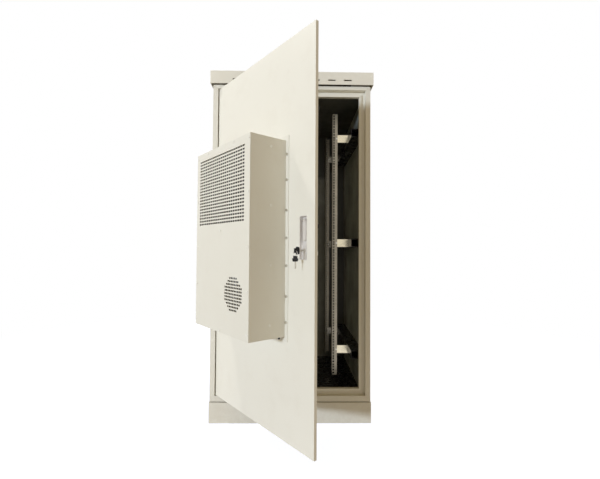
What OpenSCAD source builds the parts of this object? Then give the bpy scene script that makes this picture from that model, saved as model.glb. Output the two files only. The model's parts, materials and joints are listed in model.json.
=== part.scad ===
// Roadside utility cabinet: a steel enclosure on a plinth, with a rack inside
// and a door, standing ajar, that carries an air conditioner and a key lock.
// X runs to the right, Y to the back, Z up; the origin is on the ground, mid footprint.

/* [Cabinet body] */
// Width of the body
body_w = 800; // [780:5:840]
// Depth of the body
body_d = 800; // [760:5:900]
// Height of the body, from the plinth gap to the roof gap
body_h = 1590; // [1585:5:1680]
// Sheet thickness of the panels
body_sheet = 2; // [1.5:0.25:2.5]
// Thickness of the wall insulation
foam_t = 25; // [15:1:30]

/* [Plinth] */
// Height of the plinth
plinth_h = 102; // [90:1:160]
// Height of the shadow gap above the plinth
plinth_gap = 3; // [2:0.5:6]
// How far the gap stands back from the body's faces
plinth_gap_inset = 8; // [5:0.5:12]
// How far the plinth stands proud of the body
plinth_proud = 3; // [1:0.5:8]
// Sheet thickness of the plinth
plinth_sheet = 3; // [2:0.25:4]
// Width of the plinth's folded flanges
plinth_flange = 60; // [55:1:80]
// Diameter of the anchor holes
anchor_d = 14; // [10:0.5:18]
// Anchor holes, from the plinth's outer side faces
anchor_inset = 35; // [28:1:40]
// Distance between the anchor holes from front to back
anchor_pitch = 620; // [500:10:660]

/* [Cable entries] */
// Number of cable entries in the floor
entry_count = 4; // [2:1:5]
// Diameter of a cable entry
entry_d = 60; // [40:1:70]
// Distance between cable entries
entry_pitch = 130; // [110:1:140]
// Cable entries, from the rear face
entry_back = 150; // [120:1:220]
// Width of the grommet's rim around the hole
grommet_rim = 8; // [5:0.5:12]
// Thickness of the grommet's rims
grommet_t = 4; // [2:0.5:6]
// Gap between a grommet's neck and its hole
grommet_fit = 0.3; // [0.1:0.1:0.6]

/* [Roof] */
// Height of the gap under the cap's edge
roof_gap = 2.5; // [2:0.5:12]
// Height of the cap's skirt
cap_h = 64.5; // [50:0.5:90]
// Overhang of the cap at each side
cap_side = 13; // [5:1:25]
// Overhang of the cap at the front
cap_front = 15; // [10:1:40]
// Overhang of the cap at the rear
cap_rear = 13; // [5:1:40]
// Sheet thickness of the cap
cap_sheet = 2; // [1.5:0.25:3]
// Number of vent slots in the cap's front and rear
vent_count = 8; // [4:2:8]
// Distance between vent slots
vent_pitch = 80.5; // [60:0.5:90]
// Length of a vent slot
vent_w = 38; // [25:1:50]
// Height of a vent slot
vent_h = 6; // [4:0.5:10]
// Middle of the vent slots above the cap's lower edge
vent_up = 22.5; // [12:0.5:40]
// Distance between the bearers under the cap
bearer_span = 600; // [400:10:680]
// Width of a bearer
bearer_w = 40; // [25:1:60]
// Length of a bearer
bearer_l = 660; // [500:10:740]

/* [Front frame] */
// Sheet thickness of the front frame
frame_sheet = 2; // [1.5:0.25:2.5]
// Width of the front face at the sides
side_flange = 25; // [20:1:28]
// Width of the front face at the top
top_flange = 18; // [14:1:26]
// Width of the front face at the bottom
bottom_flange = 28; // [20:1:34]
// Width of the rain groove
groove_w = 18; // [17:0.5:20]
// Depth of the rain groove behind the front face
groove_in = 26; // [25:0.5:30]
// Width of the sealing lip
lip_w = 12; // [10:0.5:14]
// Depth of the sealing lip behind the front face
lip_in = 16; // [15:0.5:17]
// Depth of the lip's return behind the front face
lip_return = 38; // [30:1:39]

/* [Rack] */
// Height of the rack in rack units
rack_units = 32; // [20:1:32]
// Height of one rack unit
rack_unit = 44.45; // [44:0.05:44.6]
// Hole line of the rails, from the middle of the cabinet
hole_line = 232.55; // [228:0.05:236]
// Side of the square rail holes
hole_side = 9.5; // [7:0.1:10]
// First hole's middle above the lower edge of a unit
hole_first = 6.35; // [6:0.05:6.6]
// Distance between holes within a unit
hole_step = 15.875; // [15.5:0.005:16]
// Rail beyond the first and last unit
rail_end = 5; // [3:0.5:12]
// Rails above the floor panel
rail_lift = 75; // [40:1:80]
// Rail's inner edge, from the hole line
rail_inner = 7.5; // [6:0.5:20]
// Width of a rail's face
rail_face = 27; // [24:0.5:42]
// Depth of a rail's side flange
rail_side = 50; // [42:1:70]
// Side holes behind a rail's face
rail_side_hole = 28; // [20:1:34]
// Sheet thickness of the rails
rail_sheet = 2; // [1.5:0.25:3]
// Rail's face behind the cabinet's front
rail_in = 167; // [140:1:200]
// Distance between the depth beams
beam_pitch = 579; // [400:1:620]
// Height of a depth beam
beam_h = 42; // [34:1:60]
// Sheet thickness of a depth beam
beam_sheet = 2.5; // [2:0.25:4]
// Depth beam's inner face, as a share of the room between the rail and the wall
beam_share = 0.4957; // [0.3:0.01:0.7]
// Depth beams' ends, from the front and rear faces
beam_end = 60; // [45:1:120]
// Thickness of a rail bracket
bracket_t = 3; // [2:0.25:5]
// Length of a bracket along its beam
bracket_side = 45; // [30:1:60]
// Lap of a bracket behind its rail
bracket_lap = 10; // [9:0.5:11]
// Side of the square neck of a rack bolt
rack_neck = 5; // [4:0.25:6]
// Radius of a rack bolt's head over its corners
rack_head_r = 4.6; // [3.5:0.1:4.8]
// Height of a rack bolt's head
rack_head_h = 3.5; // [2:0.25:5]

/* [Door] */
// How far the door stands open, in degrees
door_open = 51.6; // [0:0.1:110]
// Gap beside the door
door_gap_side = 6; // [5:0.5:8]
// Gap above and below the door
door_gap_end = 4; // [3:0.5:6]
// Sheet thickness of the door
door_sheet = 2; // [1.5:0.1:2]
// Depth of the door's folded edges
door_t = 12.5; // [10:0.5:22]
// Depth of the folded edge on the hinge side
hinge_return = 12; // [10:0.5:12]
// Thickness of the door liner
liner_t = 16; // [12:0.5:18]
// Gap between the liner and the sealing lip
liner_gap = 3; // [2:0.5:5]
// Gasket inside the edges of the sealing lip
gasket_inset = 1; // [0.5:0.25:2]
// Gap between the gasket and the lip when shut
gasket_gap = 0.5; // [0.3:0.1:1]

/* [Hinges] */
// Outer hinges, from the door's ends
hinge_end = 180; // [120:5:300]
// Hinge pin, from the door's edge
pivot_u = 6.5; // [6.3:0.1:6.8]
// Hinge pin behind the door's face
pivot_in = 6.5; // [6.5:0.1:7]
// Radius of the knuckles
knuckle_r = 4.2; // [3.8:0.1:4.2]
// Radius of the hinge pins
pin_r = 2.2; // [1.8:0.1:2.6]
// Running gap around a pin
pin_fit = 0.05; // [0.03:0.01:0.1]
// Length of a frame knuckle
frame_knuckle = 28; // [20:1:40]
// Length of a door knuckle
door_knuckle = 20; // [12:1:30]
// Gap between knuckles
knuckle_gap = 0.4; // [0.3:0.1:1]
// Thickness of the hinge leaves
leaf_t = 2.5; // [2:0.1:2.6]
// Width of a door leaf
leaf_w = 10; // [8:0.5:10]
// Width of a frame leaf's foot
foot_w = 14; // [10:0.5:15]
// Room around a frame leaf in the door's edge
notch_gap = 2; // [1:0.5:4]
// Height of a pin's head
pin_head_h = 2; // [1:0.25:3]
// Radius of a pin's head
pin_head_r = 3.4; // [3:0.1:4]

/* [Lock] */
// Lock's middle, from the door's free edge
lock_edge = 63; // [58:0.5:68]
// Lock's middle above the door's lower edge
lock_up = 765; // [700:1:820]
// Width of the lock pan's rim
pan_w = 41; // [40:0.5:46]
// Height of the lock pan's rim
pan_h = 160; // [156:1:180]
// Thickness of the rim and walls
pan_t = 1.5; // [1:0.1:1.8]
// Width of the rim around the recess
pan_rim = 2.5; // [2:0.1:2.5]
// Depth of the recess
pan_in = 16; // [15:0.5:17]
// Gap between the pan and the door
pan_fit = 0.5; // [0.3:0.1:1]
// Height of the lock block in the pan's foot
block_h = 52; // [48:1:56]
// Lock block's face behind the door's face
block_in = 9; // [1.5:0.25:10]
// Lock axis below the pan's middle
key_down = 46.5; // [40:0.5:48]
// Width of the lever
lever_w = 16.5; // [14:0.5:29]
// Lever's face behind the door's face
lever_in = 4; // [0.5:0.25:4]
// Thickness of the lever
lever_t = 8; // [6:0.5:9]
// Lever's pin above the pan's middle
lever_pin_up = 64; // [60:0.5:66]
// Lever's pin behind the door's face
lever_pin_in = 8; // [6.5:0.25:8.5]
// Radius of the lever's rounded top
lever_top_r = 5.5; // [5:0.1:5.5]
// Lever's tip below the pan's middle
lever_tip = 12; // [4:0.5:14]
// Radius of the lever's pin
lever_pin_r = 2; // [1.5:0.1:2.5]
// Radius of the lock barrel
barrel_r = 9; // [8:0.1:10]
// Radius of the barrel's front collar
collar_r = 10.5; // [9.5:0.1:11.5]
// How far the collar stands out of the block
collar_t = 1.5; // [1:0.1:1.5]
// Barrel's end behind the door's face
barrel_in = 34; // [28:0.5:36]
// Gap between barrel and block
barrel_fit = 0.1; // [0.05:0.01:0.2]
// Radius of the lock plug
plug_r = 5.5; // [5:0.1:6]
// How far the plug passes the barrel's end
plug_past = 2; // [1:0.25:3]
// Side of the plug's square tail
tail_side = 6; // [5:0.1:6.5]
// Cam's face behind the door's face
cam_in = 42; // [41:0.25:43]
// Thickness of the cam
cam_t = 3; // [2:0.1:3.5]
// Radius of the cam's disc
cam_r = 20; // [18:0.5:24]
// Length of the cam's tongue from the lock axis
tongue_l = 50; // [46:0.5:54]
// Width of the cam's tongue
tongue_w = 16; // [10:0.5:20]
// Stroke of the lock rods over a quarter turn
rod_stroke = 20; // [16:0.5:22]
// Radius of the cam's pins
cam_pin_r = 2.5; // [2:0.1:3]
// How far the cam's pins stand out
cam_pin_l = 8; // [7:0.5:10]
// Gap between the cam and the rods
rod_gap = 2; // [1:0.25:3]
// Thickness of a lock rod
rod_t = 4; // [3:0.25:5]
// Width of a lock rod
rod_w = 14; // [10:0.5:16]
// Width of a rod's eye
eye_w = 20; // [18:0.5:22]
// Height of a rod's eye
eye_h = 16; // [14:0.5:18]
// Room around a cam pin in a rod's eye
eye_gap = 0.7; // [0.5:0.1:1]
// Drawn rod's tip, from the clear opening's edge
rod_short = 6; // [3:0.5:10]
// Width of a rod guide
guide_w = 24; // [20:0.5:28]
// Height of a rod guide
guide_h = 16; // [10:0.5:24]
// Wall of a rod guide behind the rod
guide_wall = 3; // [2:0.25:5]
// Gap between a rod and its guides
guide_fit = 0.4; // [0.3:0.1:0.8]
// Rod guides nearest the lock, from the lock axis
guide_near = 90; // [60:1:150]
// Rod guides nearest the door's ends, from the drawn rods' tips
guide_far = 260; // [40:1:300]

/* [Keys] */
// Radius of a key's head
head_r = 14; // [12:0.25:16]
// Length of a key's head along its blade
head_l = 20.5; // [19:0.25:24]
// Height of a key's head beside the key ring
head_end = 17; // [12:0.5:18]
// Start of that lower height, from the middle of a head
head_step = 1.5; // [1:0.25:1.75]
// Thickness of a key's head
head_t = 7; // [5:0.25:8]
// Middle of the key's head in front of the door
head_out = 30; // [26:0.5:36]
// Height of a key's blade
blade_h = 8; // [6:0.25:9]
// Thickness of a key's blade
blade_t = 2; // [1.5:0.1:2.5]
// Blade's tip behind the door's face
blade_in = 20; // [14:0.5:26]
// Length of the spare key's free blade
blade_free = 25; // [20:0.5:30]
// Length of a blade inside its head
blade_root = 6; // [4:0.5:7]
// Gap around a blade
blade_fit = 0.1; // [0.05:0.01:0.2]
// Key ring hole, from the middle of a head
ring_hole_off = 6.5; // [6:0.25:7]
// Radius of the key ring hole
ring_hole_r = 2; // [1.8:0.1:2.4]
// Radius of the key ring
ring_r = 11; // [9:0.25:14]
// Turn of the spare key on the ring
spare_twist = 15; // [0:1:16]
// Radius of the key ring's wire
wire_r = 0.8; // [0.6:0.05:0.9]

/* [Air conditioner] */
// Air conditioner's place, as a share of the free width between the hinge edge and the lock
ac_share = 0.61; // [0.48:0.01:0.63]
// Air conditioner above the door's lower edge
ac_up = 392; // [350:1:420]
// Width of the air conditioner
ac_w = 448; // [440:1:460]
// Height of the air conditioner
ac_h = 750; // [740:1:780]
// How far it stands out of the door
ac_out = 162; // [160:1:180]
// Depth of the tray behind the door's face
ac_in = 38; // [38:0.5:40]
// Sheet thickness of tray and cover
ac_sheet = 1.5; // [1:0.1:2]
// Width of the tray's flange beyond the cover
ac_flange = 18; // [16:0.5:20]
// Thickness of the tray's flange
ac_flange_t = 2; // [1.5:0.1:3]
// Tray's walls inside the cover's outline
tray_inset = 19; // [17:0.5:22]
// Width of the casing's rim behind the front panel
casing_rim = 20; // [16:0.5:22]
// Gap between the tray and the door
tray_fit = 1; // [0.5:0.1:2]
// Number of grille rows
grille_rows = 22; // [10:1:22]
// Number of grille columns
grille_cols = 22; // [10:1:22]
// Height from one grille row to the next
grille_row_pitch = 13.1; // [12.5:0.05:13.2]
// Height of a grille slot
grille_slot_h = 7; // [4:0.25:8]
// Width of the webs between grille slots
grille_web = 3; // [2:0.25:7]
// Grille from the cover's left edge
grille_left = 30; // [24:0.5:40]
// Grille from the cover's right edge
grille_right = 39.2; // [34:0.1:50]
// Grille from the cover's upper edge
grille_top = 33.9; // [30:0.1:40]
// Fan's middle from the cover's left edge, as a share of its width
fan_share = 0.7433; // [0.73:0.005:0.755]
// Fan's middle above the cover's lower edge
fan_up = 160; // [150:0.5:165]
// Radius of the fan grille
fan_grille_r = 71; // [60:0.5:72]
// Pitch of the fan grille's holes
fan_pitch = 12.1; // [12:0.05:13]
// Width of a fan grille hole
fan_hole_w = 10; // [7:0.1:10]
// Height of a fan grille hole
fan_hole_h = 7; // [4:0.1:8]
// Room fan's middle from the cover's left edge, as a share of its width
room_fan_share = 0.5; // [0.45:0.01:0.55]
// Room fan's middle below the cover's upper edge
room_fan_down = 210; // [150:1:250]
// Number of louvres in the tray's back
louvre_count = 8; // [4:1:9]
// Height from one louvre to the next
louvre_pitch = 24; // [20:0.5:26]
// Height of a louvre slot
louvre_h = 8; // [5:0.25:10]
// Width of a louvre slot
louvre_w = 300; // [200:5:330]
// Lowest louvre above the cover's lower edge
louvre_up = 70; // [60:1:80]

/* [Air conditioner fasteners] */
// Heights of the flange bolts on each side above the middle, as shares of the cover's height
side_bolt_shares = [-0.427, -0.296, -0.141, 0, 0.141, 0.296, 0.427];
// Number of flange bolts above and below
end_bolts = 4; // [2:2:4]
// Distance between flange bolts above and below
end_bolt_pitch = 110; // [90:1:120]
// Flange bolts outside the cover
bolt_out = 9; // [8:0.25:11]
// Side of a flange bolt's square neck
bolt_neck = 5; // [4:0.25:6]
// Length of a flange bolt behind the door's face
bolt_in = 8; // [5:0.5:12]
// Radius of a flange bolt's head over its corners
bolt_head_r = 5.4; // [4:0.1:6]
// Height of a flange bolt's head
bolt_head_h = 4.5; // [3:0.25:6]
// Gap around the necks of bolts and screws
neck_gap = 0.2; // [0.1:0.05:0.4]
// Radius of a cover screw's head
screw_head_r = 4.4; // [3.5:0.1:5]
// Height of a cover screw's head
screw_head_h = 1.8; // [1:0.1:2.5]
// Side of a cover screw's neck
screw_neck = 3; // [2:0.1:3.5]
// Length of a cover screw's neck
screw_l = 6; // [4:0.5:10]
// Cover screws inside the cover's side edges
screw_side = 11; // [9:0.5:14]
// Cover screws inside the cover's upper and lower edges
screw_end = 8; // [7:0.5:12]
// Heights of the side screws, as shares of the cover's height
screw_up_shares = [0.035, 0.237, 0.452, 0.719, 0.977];
// Places of the upper screws, as shares of the cover's width
screw_top_shares = [0.241, 0.73];
// Middle screw below the grille
screw_mid_gap = 30; // [26:0.5:36]
// Flank screws in front of the door's face
flank_out = 69.5; // [60:0.5:80]
// Heights of the flank screws, as shares of the cover's height
flank_shares = [0.067, 0.363, 0.659, 0.955];

/* [Air conditioner inside] */
// Partition in front of the door's face
part_out = 22; // [20:0.5:24]
// Thickness of the partition
part_t = 2; // [1:0.25:3]
// Gap around the partition
part_fit = 0.4; // [0.2:0.1:0.8]
// Condenser coil's fins, from the cover's sides
coil_side = 34; // [29:0.5:54]
// Height of the condenser coil
coil_h = 286; // [250:1:290]
// Thickness of the condenser coil
coil_t = 40; // [25:1:50]
// Gap between the condenser coil and the cover
coil_gap = 14; // [8:0.5:20]
// Thickness of the coils' end plates
coil_plate = 4; // [2:0.25:6]
// Number of fin grooves in a coil
fin_count = 36; // [10:1:40]
// Width of a fin groove
fin_gap = 4; // [2:0.25:5]
// Depth of a fin groove
fin_in = 6; // [3:0.5:10]
// Evaporator coil's fins, from the cover's sides
evap_side = 40; // [36:0.5:59]
// Height of the evaporator coil
evap_h = 250; // [220:1:270]
// Thickness of the evaporator coil
evap_t = 36; // [25:1:40]
// Evaporator coil above the cover's lower edge
evap_up = 40; // [34:1:60]
// Side of a fan's frame
fan_side = 150; // [146:1:154]
// Depth of a fan's frame
fan_l = 50; // [44:1:52]
// Radius of a fan's duct
duct_r = 70; // [69:0.25:72]
// Radius of a fan's motor
motor_r = 28; // [20:0.5:34]
// Depth of a fan's motor
motor_l = 14; // [10:0.5:16]
// Height of a fan's struts
strut_h = 8; // [5:0.5:12]
// Depth of a fan's struts
strut_l = 6; // [4:0.5:8]
// Radius of an impeller's hub
hub_r = 30; // [24:0.5:34]
// Gap between impeller and motor
hub_gap = 0.5; // [0.3:0.1:1]
// Impeller behind the frame's face
hub_in = 6; // [4:0.5:8]
// Number of impeller blades
fan_blades = 7; // [3:1:9]
// Pitch of the impeller blades in degrees
fan_blade_pitch = 35; // [20:1:40]
// Chord of an impeller blade
fan_chord = 32; // [20:0.5:34]
// Thickness of an impeller blade
fan_blade_t = 2.5; // [1.5:0.1:3]
// Tip of the impeller blades, from the axis
fan_tip = 66; // [55:0.5:66]
// Radius of an impeller's shaft
shaft_r = 3; // [2:0.1:4]
// Radius of the compressor
comp_r = 58; // [50:0.5:60]
// Height of the compressor
comp_h = 210; // [180:1:220]
// Radius of the compressor's top, as a share of its own
comp_top_share = 0.5; // [0.3:0.05:0.8]
// Height of the compressor's domed top
comp_dome = 18; // [10:0.5:24]
// Compressor's middle from the cover's left edge, as a share of its width
comp_share = 0.2455; // [0.225:0.005:0.255]
// Compressor's middle in front of the door's face
comp_out = 92; // [88:0.5:94]
// Compressor above the cover's lower edge
comp_up = 24; // [15:1:30]
// Thickness of the compressor's base
comp_base = 6; // [4:0.5:8]
// Radius of the compressor's accumulator
accu_r = 22; // [16:0.5:24]
// Height of the accumulator
accu_h = 130; // [100:1:150]
// Gap between compressor and accumulator
accu_gap = 6; // [4:0.5:10]
// Width of the control box
box_w = 200; // [160:1:220]
// Height of the control box
box_h = 130; // [110:1:135]
// Depth of the control box
box_l = 66; // [50:1:70]
// Control box from the cover's right edge
box_side = 26; // [22:1:32]
// Gap between the control box and the condenser coil
box_gap = 16; // [14:0.5:24]
// Radius of the refrigerant pipes
pipe_r = 5; // [4:0.25:6]
// Height of the suction pipe above the accumulator
pipe_rise = 30; // [20:1:40]
// Liquid pipe from the condenser coil's right end
pipe_inset = 34; // [20:1:60]
// Hot pipe's turn, as a share of the height from the compressor to the condenser coil
pipe_turn_share = 0.494; // [0.3:0.01:0.7]
// Radius of the drain spout
spout_r = 4.5; // [4:0.25:6]
// Radius of the spout's bore
spout_bore_r = 3; // [2:0.25:3.5]
// Length of the drain spout
spout_l = 10; // [8:0.5:20]
// Radius of the spout's flange
spout_flange_r = 7; // [6.5:0.25:9]
// Thickness of the spout's flange
spout_flange_t = 2; // [1:0.25:3]
// Spout from the cover's right edge
spout_side = 15; // [12:0.5:30]
// Spout in front of the door's face
spout_out = 17.5; // [16:0.5:19]

/* [Hidden] */
$fn = 48;
// Overcut of the cutting shapes
cut = 1;
front_y = -body_d / 2;
plinth_w = body_w + 2 * plinth_proud;
plinth_d = body_d + 2 * plinth_proud;
body_z0 = plinth_h + plinth_gap;
body_z1 = body_z0 + body_h;
floor_z1 = body_z0 + body_sheet;
roof_z0 = body_z1 - body_sheet;
inner_w = body_w - 2 * body_sheet;
inner_d = body_d - 2 * body_sheet;
cap_z0 = body_z1 + roof_gap;
cap_z1 = cap_z0 + cap_h;
cap_w = body_w + 2 * cap_side;
cap_d = body_d + cap_front + cap_rear;
entry_y = body_d / 2 - entry_back;
seal_w = groove_w + lip_w;
foam_y0 = front_y + lip_return + frame_sheet;
foam_x = inner_w / 2 - foam_t;
recess_w = body_w - 2 * side_flange;
recess_z0 = body_z0 + bottom_flange;
recess_z1 = body_z1 - top_flange;
rail_z0 = floor_z1 + rail_lift;
rail_h = rack_units * rack_unit + 2 * rail_end;
rail_x0 = hole_line - rail_inner;
rail_x1 = rail_x0 + rail_face;
rail_y = front_y + rail_in;
rail_mid = rail_z0 + rail_h / 2;
rack_bolt_x = rail_x1 - bracket_lap / 2;
beam_x = rail_x1 + beam_share * (foam_x - rail_x1);
door_w = recess_w - 2 * door_gap_side;
door_x0 = -door_w / 2;
door_z0 = recess_z0 + door_gap_end;
door_z1 = recess_z1 - door_gap_end;
door_h = door_z1 - door_z0;
hinge_zs = [door_z0 + hinge_end, (door_z0 + door_z1) / 2, door_z1 - hinge_end];
lock_u = door_w - lock_edge;
lock_z = door_z0 + lock_up;
key_z = lock_z - key_down;
recess_pan_w = pan_w - 2 * pan_rim;
recess_pan_h = pan_h - 2 * pan_rim;
cam_pin_off = rod_stroke / 2;
cam_pin_reach = cam_pin_off * sqrt(2);
rod_off = (cam_pin_off + cam_pin_reach) / 2;
rod_in = cam_in + cam_t + rod_gap;
rod_top = recess_z1 - seal_w - rod_short;
rod_bottom = recess_z0 + seal_w + rod_short;
hole_out = head_out + ring_hole_off;
plug_front = block_in - collar_t;
spare_z = key_z - 2 * ring_r;
ac_z = door_z0 + ac_up;
tray_w = ac_w - 2 * tray_inset;
tray_h = ac_h - 2 * tray_inset;
flange_w = ac_w + 2 * ac_flange;
flange_h = ac_h + 2 * ac_flange;
ac_u = ac_share * (lock_u - pan_w / 2 - flange_w) + ac_flange;
part_y = -part_out - part_t;
coil_y0 = -ac_out + 2 * ac_sheet + coil_gap;
coil_w = ac_w - 2 * coil_side;
grille_h = (grille_rows - 1) * grille_row_pitch + grille_slot_h;
grille_up = ac_h - grille_top - grille_h;
grille_col_pitch = (ac_w - grille_left - grille_right + grille_web) / grille_cols;
grille_slot_w = grille_col_pitch - grille_web;
coil_up = grille_up - coil_plate;
box_up = coil_up - box_gap - box_h;
room_fan_up = ac_h - room_fan_down;
screw_mid_up = grille_up - screw_mid_gap;
evap_w = ac_w - 2 * evap_side;
fan_a = fan_share * ac_w;
room_fan_a = room_fan_share * ac_w;
fan_y = -ac_out + ac_sheet;
room_fan_y = ac_in - ac_sheet;
comp_a = comp_share * ac_w;
accu_a = comp_a + comp_r + accu_gap + accu_r;
box_a = ac_w - box_w - box_side;

// Shared shapes

function centred_hole(x, y, w, h) = [x - w / 2, y - h / 2, w, h];

module box(at, size) {
    translate(at) cube(size);
}

// Flat sheet with rectangular holes, lying in XY
module plate(size, holes, t) {
    linear_extrude(t)
        difference() {
            square(size);
            for (h = holes)
                translate([h[0], h[1]]) square([h[2], h[3]]);
        }
}

// The same sheet standing in XZ, its thickness towards +Y
module front_plate(size, holes, t) {
    translate([0, t, 0]) rotate([90, 0, 0]) plate(size, holes, t);
}

// The same sheet standing in YZ, its thickness towards +X
module side_plate(size, holes, t) {
    rotate([90, 0, 90]) plate(size, holes, t);
}

module rod_y(r, l) {
    rotate([-90, 0, 0]) cylinder(r = r, h = l);
}

module rod_x(r, l) {
    rotate([0, 90, 0]) cylinder(r = r, h = l);
}

// Folded channel along Y, its open side towards +X
module channel(h, flange, t, l) {
    translate([0, l / 2, 0]) rotate([90, 0, 0]) linear_extrude(l)
        difference() {
            square([flange, h]);
            translate([t, t]) square([flange, h - 2 * t]);
        }
}

module both_sides() {
    children();
    mirror([1, 0, 0]) children();
}

module front_and_rear() {
    children();
    mirror([0, 1, 0]) children();
}

// Place the shut door's pieces: x along the door from its hinge edge, y into the cabinet
module on_shut_door() {
    translate([door_x0, front_y, 0]) children();
}

module on_door() {
    on_shut_door()
        translate([pivot_u, pivot_in, 0]) rotate([0, 0, -door_open]) translate([-pivot_u, -pivot_in, 0])
            children();
}

module on_lock() {
    on_door() translate([lock_u, 0, lock_z]) children();
}

module on_key() {
    on_door() translate([lock_u, 0, key_z]) children();
}

module on_ac() {
    on_door() translate([ac_u, 0, ac_z]) children();
}

// Plinth

module plinth_side_channels() {
    color("gainsboro") both_sides()
        difference() {
            translate([-plinth_w / 2, 0, 0])
                channel(plinth_h, plinth_flange, plinth_sheet, plinth_d - 2 * plinth_sheet);
            for (s = [-1, 1])
                translate([-plinth_w / 2 + anchor_inset, s * anchor_pitch / 2, -cut])
                    cylinder(d = anchor_d, h = plinth_sheet + 2 * cut);
        }
}

module plinth_end_covers() {
    l = plinth_w - 2 * plinth_flange - 2 * plinth_gap;
    color("gainsboro") front_and_rear() {
        box([-plinth_w / 2, -plinth_d / 2, 0], [plinth_w, plinth_sheet, plinth_h]);
        for (z = [0, plinth_h - plinth_sheet])
            box([-l / 2, -plinth_d / 2, z], [l, plinth_flange, plinth_sheet]);
    }
}

// Floor and cable entries

module at_entries() {
    for (i = [0:entry_count - 1])
        translate([(i - (entry_count - 1) / 2) * entry_pitch, entry_y, 0]) children();
}

module floor_panel() {
    w = body_w - 2 * plinth_gap_inset;
    d = body_d - 2 * plinth_gap_inset;
    color("gainsboro") difference() {
        union() {
            box([-w / 2, -d / 2, plinth_h], [w, d, floor_z1 - plinth_h]);
            box([-inner_w / 2, -inner_d / 2, body_z0], [inner_w, inner_d, body_sheet]);
        }
        at_entries() translate([0, 0, plinth_h - cut])
            cylinder(d = entry_d, h = floor_z1 - plinth_h + 2 * cut);
    }
}

module cable_grommets() {
    rim_r = entry_d / 2 + grommet_rim;
    color("dimgray") at_entries() {
        translate([0, 0, floor_z1]) cylinder(r = rim_r, h = grommet_t);
        translate([0, 0, plinth_h - grommet_t]) cylinder(r = rim_r, h = grommet_t);
        translate([0, 0, plinth_h - grommet_t])
            cylinder(r = entry_d / 2 - grommet_fit, h = floor_z1 - plinth_h + 2 * grommet_t);
    }
}

// Walls and roof

module side_panel() {
    box([inner_w / 2, -inner_d / 2, body_z0], [body_sheet, inner_d, body_h]);
}

module left_side_panel() {
    color("whitesmoke") mirror([1, 0, 0]) side_panel();
}

module right_side_panel() {
    color("whitesmoke") side_panel();
}

module rear_panel() {
    color("whitesmoke") box([-body_w / 2, inner_d / 2, body_z0], [body_w, body_sheet, body_h]);
}

module roof_panel() {
    color("whitesmoke") box([-inner_w / 2, -inner_d / 2, roof_z0], [inner_w, inner_d, body_sheet]);
}

module roof_bearers() {
    h = cap_z1 - cap_sheet - body_z1;
    color("silver") both_sides()
        translate([(bearer_span - bearer_w) / 2, 0, body_z1]) channel(h, bearer_w, cap_sheet, bearer_l);
}

module roof_cap() {
    slots = [for (i = [0:vent_count - 1])
        centred_hole(cap_w / 2 + (i - (vent_count - 1) / 2) * vent_pitch, vent_up, vent_w, vent_h)];
    y0 = front_y - cap_front;
    color("whitesmoke") {
        box([-cap_w / 2, y0, cap_z1 - cap_sheet], [cap_w, cap_d, cap_sheet]);
        for (y = [y0, y0 + cap_d - cap_sheet])
            translate([-cap_w / 2, y, cap_z0]) front_plate([cap_w, cap_h], slots, cap_sheet);
        for (x = [-cap_w / 2, cap_w / 2 - cap_sheet])
            box([x, y0, cap_z0], [cap_sheet, cap_d, cap_h]);
    }
}

module side_insulation() {
    color("dimgray") both_sides()
        box([foam_x, foam_y0, floor_z1],
            [foam_t, inner_d / 2 - foam_t - foam_y0, roof_z0 - foam_t - floor_z1]);
}

module rear_insulation() {
    color("dimgray")
        box([-inner_w / 2, inner_d / 2 - foam_t, floor_z1], [inner_w, foam_t, roof_z0 - foam_t - floor_z1]);
}

module ceiling_insulation() {
    color("dimgray")
        box([-inner_w / 2, foam_y0, roof_z0 - foam_t], [inner_w, inner_d / 2 - foam_y0, foam_t]);
}

// Front frame: a folded member with mitred ends; flange_0 and flange_1 belong to its neighbours

module frame_profile(flange) {
    square([flange, frame_sheet]);
    translate([flange - frame_sheet, 0]) square([frame_sheet, groove_in + frame_sheet]);
    translate([flange - frame_sheet, groove_in]) square([groove_w + 2 * frame_sheet, frame_sheet]);
    translate([flange + groove_w, lip_in]) square([frame_sheet, groove_in + frame_sheet - lip_in]);
    translate([flange + groove_w, lip_in]) square([lip_w, frame_sheet]);
    translate([flange + seal_w - frame_sheet, lip_in]) square([frame_sheet, lip_return - lip_in]);
}

module frame_member(l, flange, flange_0, flange_1) {
    intersection() {
        rotate([0, -90, 0]) linear_extrude(l, center = true) frame_profile(flange);
        translate([0, lip_return + cut, 0]) rotate([90, 0, 0]) linear_extrude(lip_return + 2 * cut)
            polygon([
                [-l / 2, 0], [l / 2, 0], [l / 2 - flange_1, flange],
                [l / 2 - flange_1 - seal_w, flange + seal_w],
                [-l / 2 + flange_0 + seal_w, flange + seal_w], [-l / 2 + flange_0, flange]
            ]);
    }
}

module frame_left() {
    color("whitesmoke") translate([-body_w / 2, front_y, body_z0 + body_h / 2])
        rotate([0, 90, 0]) frame_member(body_h, side_flange, top_flange, bottom_flange);
}

module frame_right() {
    color("whitesmoke") translate([body_w / 2, front_y, body_z0 + body_h / 2])
        rotate([0, -90, 0]) frame_member(body_h, side_flange, bottom_flange, top_flange);
}

module frame_top() {
    color("whitesmoke") translate([0, front_y, body_z1])
        rotate([0, 180, 0]) frame_member(body_w, top_flange, side_flange, side_flange);
}

module frame_bottom() {
    color("whitesmoke") translate([0, front_y, body_z0])
        frame_member(body_w, bottom_flange, side_flange, side_flange);
}

// Rack

function beam_zs() = [for (i = [-1:1]) rail_mid + i * beam_pitch];

function hole_zs() = [for (u = [0:rack_units - 1]) for (k = [0:2])
    rail_end + u * rack_unit + hole_first + k * hole_step];

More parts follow.
